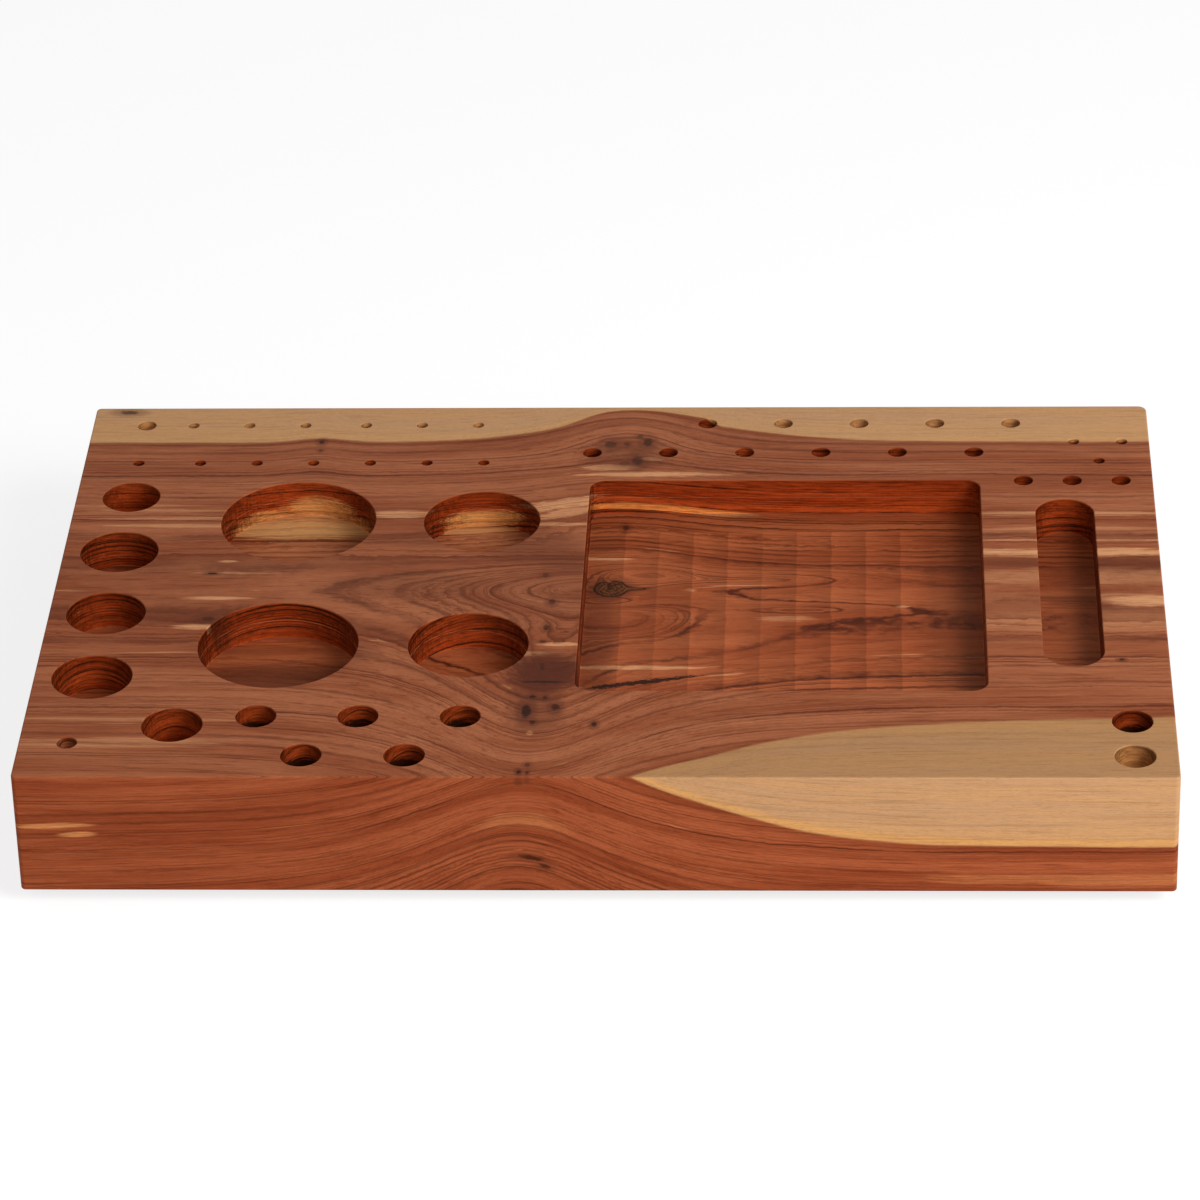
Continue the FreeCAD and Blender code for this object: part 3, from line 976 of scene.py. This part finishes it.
# %% Model one cutter for each size of hole
TOP = top / MM
FIRST_PASS = 0.52


def cutter_rings(radius, depth, ease, ledge):
    """A cutter's outline: a tight round at the floor, a ledge in the wall, and an eased rim."""
    floor_height = TOP - depth
    low = radius - ledge
    rings = [(low - 0.5, floor_height), (low - 0.15, floor_height + 0.13), (low, floor_height + 0.45)]
    if ledge:
        middle = TOP - depth * FIRST_PASS
        rings += [(low, middle - 0.08), (radius, middle + 0.08)]
    for angle in (0, 25, 50, 75):
        a = math.radians(angle)
        rings.append((radius + ease * (1 - math.cos(a)), TOP - ease * (1 - math.sin(a))))
    return rings + [(radius + ease + 0.6, TOP + 0.12)]


CUTTERS = {}
for size, diameter, depth, ease, ledge, sides in (
    ("needle", 4.76, 22.2, 0.22, 0.0, 24),
    ("tool", 7.94, 25.4, 0.28, 0.0, 32),
    ("spool", 15.88, 19.05, 0.32, 0.0, 56),
    ("vial", 23.81, HOLLOW_DEPTH, 0.35, 0.10, 72),
    ("jar", 31.75, HOLLOW_DEPTH, 0.38, 0.12, 88),
    ("small_cup", 47.63, HOLLOW_DEPTH, 0.40, 0.14, 112),
    ("large_cup", 63.5, HOLLOW_DEPTH, 0.40, 0.14, 144),
    ("slot", 23.9, HOLLOW_DEPTH, 0.45, 0.12, 72),
    ("tray", 12.7, HOLLOW_DEPTH, 0.50, 0.15, 64),
):
    CUTTERS[size] = turned("cutter_" + size, cutter_rings(diameter / 2, depth, ease, ledge), sides)
PILOT_OUTLINE = [(2.1, 6.3), (2.1, 6.4), (1.81, 6.7), (1.81, 17.0)]
CUTTERS["pilot"] = turned("cutter_pilot", PILOT_OUTLINE, 24)
SLOT_ALONG, TRAY_ACROSS, TRAY_ALONG = 52.725, 74.043, 74.878
pulled_apart(CUTTERS["slot"], 0, SLOT_ALONG)
pulled_apart(CUTTERS["tray"], TRAY_ACROSS, TRAY_ALONG)
print("cutters", {name: len(piece.data.vertices) for name, piece in CUTTERS.items()})

# %% [markdown]
# ## Where the holes are
# The holes stand in rows with an even step: needles along the back, tools behind the tray, spools at
# the front, jars down the left side. So most are given by a first place and a step, in mm from the
# middle of the board. The four pilot holes underneath take the screws of the feet.

# %% Set out the holes
FOOT_X, FOOT_Y = 196.25, 116.875
HOLES = {
    "needle": [(x, 127.675) for x in (-179.45, -155.75, -132.05, -106.35, -82.65, -58.95)]
    + [(-173.45 + 23.7 * n, 95.975) for n in range(6)]
    + [(-199.35, 95.975), (190.75, 112.675), (210.75, 112.675), (200.75, 96.675)],
    "tool": [(164.95 - 31.8 * n, 128.475) for n in range(5)]
    + [(149.05 - 31.8 * n, 104.175) for n in range(6)]
    + [(209.15 - 20.1 * n, 80.475) for n in range(3)]
    + [(-199.35, 127.675), (-203.45, -118.975)],
    "spool": [(-132.25 + 39.6 * n, -99.875) for n in range(3)]
    + [(-112.45 + 39.6 * n, -127.475) for n in range(2)]
    + [(205.65, -127.975), (205.65, -103.475)],
    "vial": [(-199.35, 67.975), (-164.25, -106.275)],
    "jar": [(-199.35, 23.975 - 47.7 * n) for n in range(3)],
    "small_cup": [(-52.95, 48.35), (-52.95, -47.55)],
    "large_cup": [(-128.25, 48.35), (-128.25, -47.55)],
    "slot": [(185.1, 0.8)],
    "tray": [(70.658, -0.15)],
    "pilot": [(x, y) for x in (-FOOT_X, FOOT_X) for y in (-FOOT_Y, FOOT_Y)],
}
print("holes set out", {size: len(places) for size, places in HOLES.items()})

# %% [markdown]
# ## The plank and its hollows
# The plank is a cube made as large as the board, with bevelled upright corners and lightly eased
# edges. The back right corner is more worn than the others. Then a copy of a cutter is set down
# at each hole, and one Boolean modifier takes them all away at once, as clean as a saw cut.

# %% Cut the board
WORN, ROUNDED, EASED = 3.5 * MM, 2.0 * MM, 0.8 * MM
bpy.ops.object.select_all(action="DESELECT")
bpy.ops.mesh.primitive_cube_add(size=1, location=(board_low + board_high) / 2)
plank = bpy.context.object
plank.name = plank.data.name = "cedar_board"
plank.scale = board_high - board_low
bpy.ops.object.transform_apply(location=True, rotation=True, scale=True)
bpy.ops.object.mode_set(mode="EDIT")


def upright(edge):
    return abs(edge.verts[0].co.z - edge.verts[1].co.z) > 1 * MM


def worn_corner(edge):
    return upright(edge) and edge.verts[0].co.x > 0 and edge.verts[0].co.y > 0


pick(plank, "edges", worn_corner)
bpy.ops.mesh.bevel(offset=WORN, segments=8, affect="EDGES")
pick(plank, "edges", lambda e: upright(e) and not worn_corner(e))
bpy.ops.mesh.bevel(offset=ROUNDED, segments=6, affect="EDGES")
pick(plank, "edges", lambda e: not upright(e))
bpy.ops.mesh.bevel(offset=EASED, segments=4, affect="EDGES")
bpy.ops.object.mode_set(mode="OBJECT")

shop = bpy.data.collections.new("cutters")
bpy.context.scene.collection.children.link(shop)
count = 0
for size, places in HOLES.items():
    for x, y in places:
        tool = copied(CUTTERS[size], f"{size}_{count}", x, y)
        bpy.context.scene.collection.objects.unlink(tool)
        shop.objects.link(tool)
        count += 1
only(plank)
cut = plank.modifiers.new("cut", "BOOLEAN")
cut.operation, cut.solver = "DIFFERENCE", "EXACT"
cut.operand_type, cut.collection = "COLLECTION", shop
bpy.ops.object.modifier_apply(modifier="cut")
thrown_away(*shop.objects, *CUTTERS.values())
bpy.data.collections.remove(shop)
only(plank)
bpy.ops.object.shade_smooth_by_angle(angle=math.radians(38))
soft = plank.modifiers.new("flat_faces_stay_flat", "WEIGHTED_NORMAL")
soft.keep_sharp, soft.weight = True, 100
bpy.ops.object.modifier_apply(modifier="flat_faces_stay_flat")
plank.data.materials.append(cedar_wood)
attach(plank, "root")
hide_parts("board")
plank.data.calc_loop_triangles()
print("holes", count, "board triangles", len(plank.data.loop_triangles))

# %% [markdown]
# ## Rubber and steel
# The feet are black rubber, which is never quite black: moulding leaves a fine grain and handling
# leaves grey dust. The washers and screws are zinc plated steel, turned on a lathe or rolled, so
# their fine scratches run round their own middles, and the plating wavers between blue and yellow.

# %% The rubber and steel materials
def from_foot_middle(r):
    """The place and distance from the nearest foot's middle, and the height, in mm."""
    x, y, z = r.split(r.vector("MULTIPLY", r.place(), (1000.0,) * 3))
    x, y = r.sum("ABSOLUTE", x) - FOOT_X, r.sum("ABSOLUTE", y) - FOOT_Y
    return x, y, root(x * x + y * y), z


def rubber():
    r = Recipe("rubber")
    x, y, _, z = from_foot_middle(r)
    grain = r.noise(r.join(x * 3.0, y * 3.0, z * 3.0), detail=3.0)
    dust = r.noise(r.join(x * 0.35, y * 0.35, z * 0.8), detail=3.0, roughness=0.6).ramp(0.48, 0.72)
    scuffed = z.ramp(1.2, 0.1) * dust
    colour = r.blend(grain, (0.014, 0.014, 0.015), (0.030, 0.030, 0.030))
    colour = r.blend(dust * 0.35 + scuffed * 0.45, colour, (0.085, 0.078, 0.070))
    dullness = grain * 0.16 + dust * 0.12 + 0.55
    return r.finish(colour, dullness, grain * 0.06, relief=0.5, Specular_IOR_Level=0.4)


def steel():
    r = Recipe("steel")
    x, y, radius, z = from_foot_middle(r)
    turned_marks = r.noise(r.join(radius * 9.0, z * 9.0), detail=2.0)
    cloudy = r.noise(r.join(x * 0.7, y * 0.7, z * 0.7), detail=2.0)
    colour = r.blend(cloudy.ramp(0.35, 0.65), (0.56, 0.58, 0.60), (0.66, 0.62, 0.52))
    colour = r.blend(turned_marks.ramp(0.55, 0.75, 0.0, 0.4), colour, (0.40, 0.40, 0.39))
    return r.finish(colour, turned_marks * 0.18 + 0.24, turned_marks * 0.02, relief=0.4, Metallic=1.0)


rubber_black, zinc_steel = rubber(), steel()
print("rubber nodes", len(rubber_black.node_tree.nodes), "steel nodes", len(zinc_steel.node_tree.nodes))

# %% [markdown]
# ## Feet, washers and screws
# Each foot is a tapered rubber bumper with a recess. A washer lies on the recess's floor, and a pan
# head screw goes through both into a pilot hole in the plank. All are turned from their outlines.
# The foot gets a rounded lower edge, two tread grooves and a soft upper edge, and the screw a
# cross recess, cut with two tapered bars, and a rolled thread.

# %% Model one foot, one washer and one screw
HEAD_LOW, SEAT, WASHER_TOP, FOOT_TOP = 1.1, 3.3, 4.3, 6.4
foot_outline = [(2.05, FOOT_TOP), (10.6, FOOT_TOP), (10.88, 6.28), (10.94, 6.0)]
foot_outline += [(9.24, 0.72), (9.08, 0.34), (8.78, 0.09), (8.4, 0.0)]
for groove in (7.5, 6.5):
    foot_outline += [(groove + 0.3, 0.0), (groove + 0.2, 0.3), (groove - 0.2, 0.3), (groove - 0.3, 0.0)]
foot_outline += [(5.8, 0.0), (5.58, 0.08), (5.5, 0.3), (5.5, WASHER_TOP), (2.05, WASHER_TOP)]
foot = turned("rubber_foot", foot_outline, 72, hollow=True)

washer_outline = [(2.05, SEAT + 0.12), (2.17, SEAT), (5.05, SEAT), (5.2, SEAT + 0.15)]
washer_outline += [(5.2, WASHER_TOP - 0.1), (5.1, WASHER_TOP), (2.05, WASHER_TOP)]
washer = turned("steel_washer", washer_outline, 64, hollow=True)

screw_outline = [(1.5, HEAD_LOW), (2.4, HEAD_LOW + 0.08), (3.0, HEAD_LOW + 0.32), (3.36, HEAD_LOW + 0.75)]
screw_outline += [(3.5, HEAD_LOW + 1.3), (3.5, SEAT - 0.15), (3.38, SEAT), (1.75, SEAT), (1.75, SEAT + 2.0)]
for thread in range(7):
    height = SEAT + 2.6 + thread
    screw_outline += [(1.25, height), (1.25, height + 0.25), (1.72, height + 0.5), (1.25, height + 0.75)]
screw_outline += [(1.1, SEAT + 10.2), (0.5, SEAT + 11.9), (0.1, SEAT + 12.68)]
screw = turned("steel_screw", screw_outline, 48)

bars = []
for angle in (0, 90):
    bpy.ops.object.select_all(action="DESELECT")
    bpy.ops.mesh.primitive_cube_add(size=1, location=(0, 0, HEAD_LOW * MM))
    bar = bpy.context.object
    bar.rotation_euler.z = math.radians(angle)
    bar.scale = (4.4 * MM, 0.85 * MM, 2.6 * MM)
    bpy.ops.object.transform_apply(location=True, rotation=True, scale=True)
    bpy.ops.object.mode_set(mode="EDIT")
    pick(bar, "verts", lambda v: v.co.z > HEAD_LOW * MM)
    bpy.ops.transform.resize(value=(0.45, 0.45, 1), center_override=(0, 0, 0))
    bpy.ops.object.mode_set(mode="OBJECT")
    only(screw)
    recess = screw.modifiers.new("cross", "BOOLEAN")
    recess.operation, recess.solver, recess.object = "DIFFERENCE", "EXACT", bar
    bpy.ops.object.modifier_apply(modifier="cross")
    bars.append(bar)
thrown_away(*bars)

for piece, material in ((foot, rubber_black), (washer, zinc_steel), (screw, zinc_steel)):
    only(piece)
    bpy.ops.object.shade_smooth_by_angle(angle=math.radians(32))
    piece.data.materials.append(material)
    print(piece.name, "faces", len(piece.data.polygons))

# %% [markdown]
# ## Set them under the corners
# The four sets are alike, so each piece is copied to the middle of its CAD node, in line with the
# rest of its set, and replaces that node.

# %% Place the feet, washers and screws
for node, model, slot in (("foot", foot, "rubber"), ("washer", washer, "steel"), ("screw", screw, "steel")):
    for corner in ("front_left", "front_right", "back_left", "back_right"):
        low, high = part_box(f"{node}_{corner}")
        middle = (low + high) / 2 / MM
        twin = copied(model, f"{model.name}_{corner}", middle.x, middle.y)
        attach(twin, "root")
        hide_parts(f"{node}_{corner}")
thrown_away(foot, washer, screw)
print("feet, washers and screws placed")

# %% [markdown]
# ## Finish
# The box of all that shows is compared with the CAD box, because dressing must not change the size.

# %% Measure and finish
shown_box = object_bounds()
corners = zip((*cad_box[0], *cad_box[1]), (*shown_box[0], *shown_box[1]))
print("grown by mm", [round((shown - cad) / MM, 3) for cad, shown in corners])
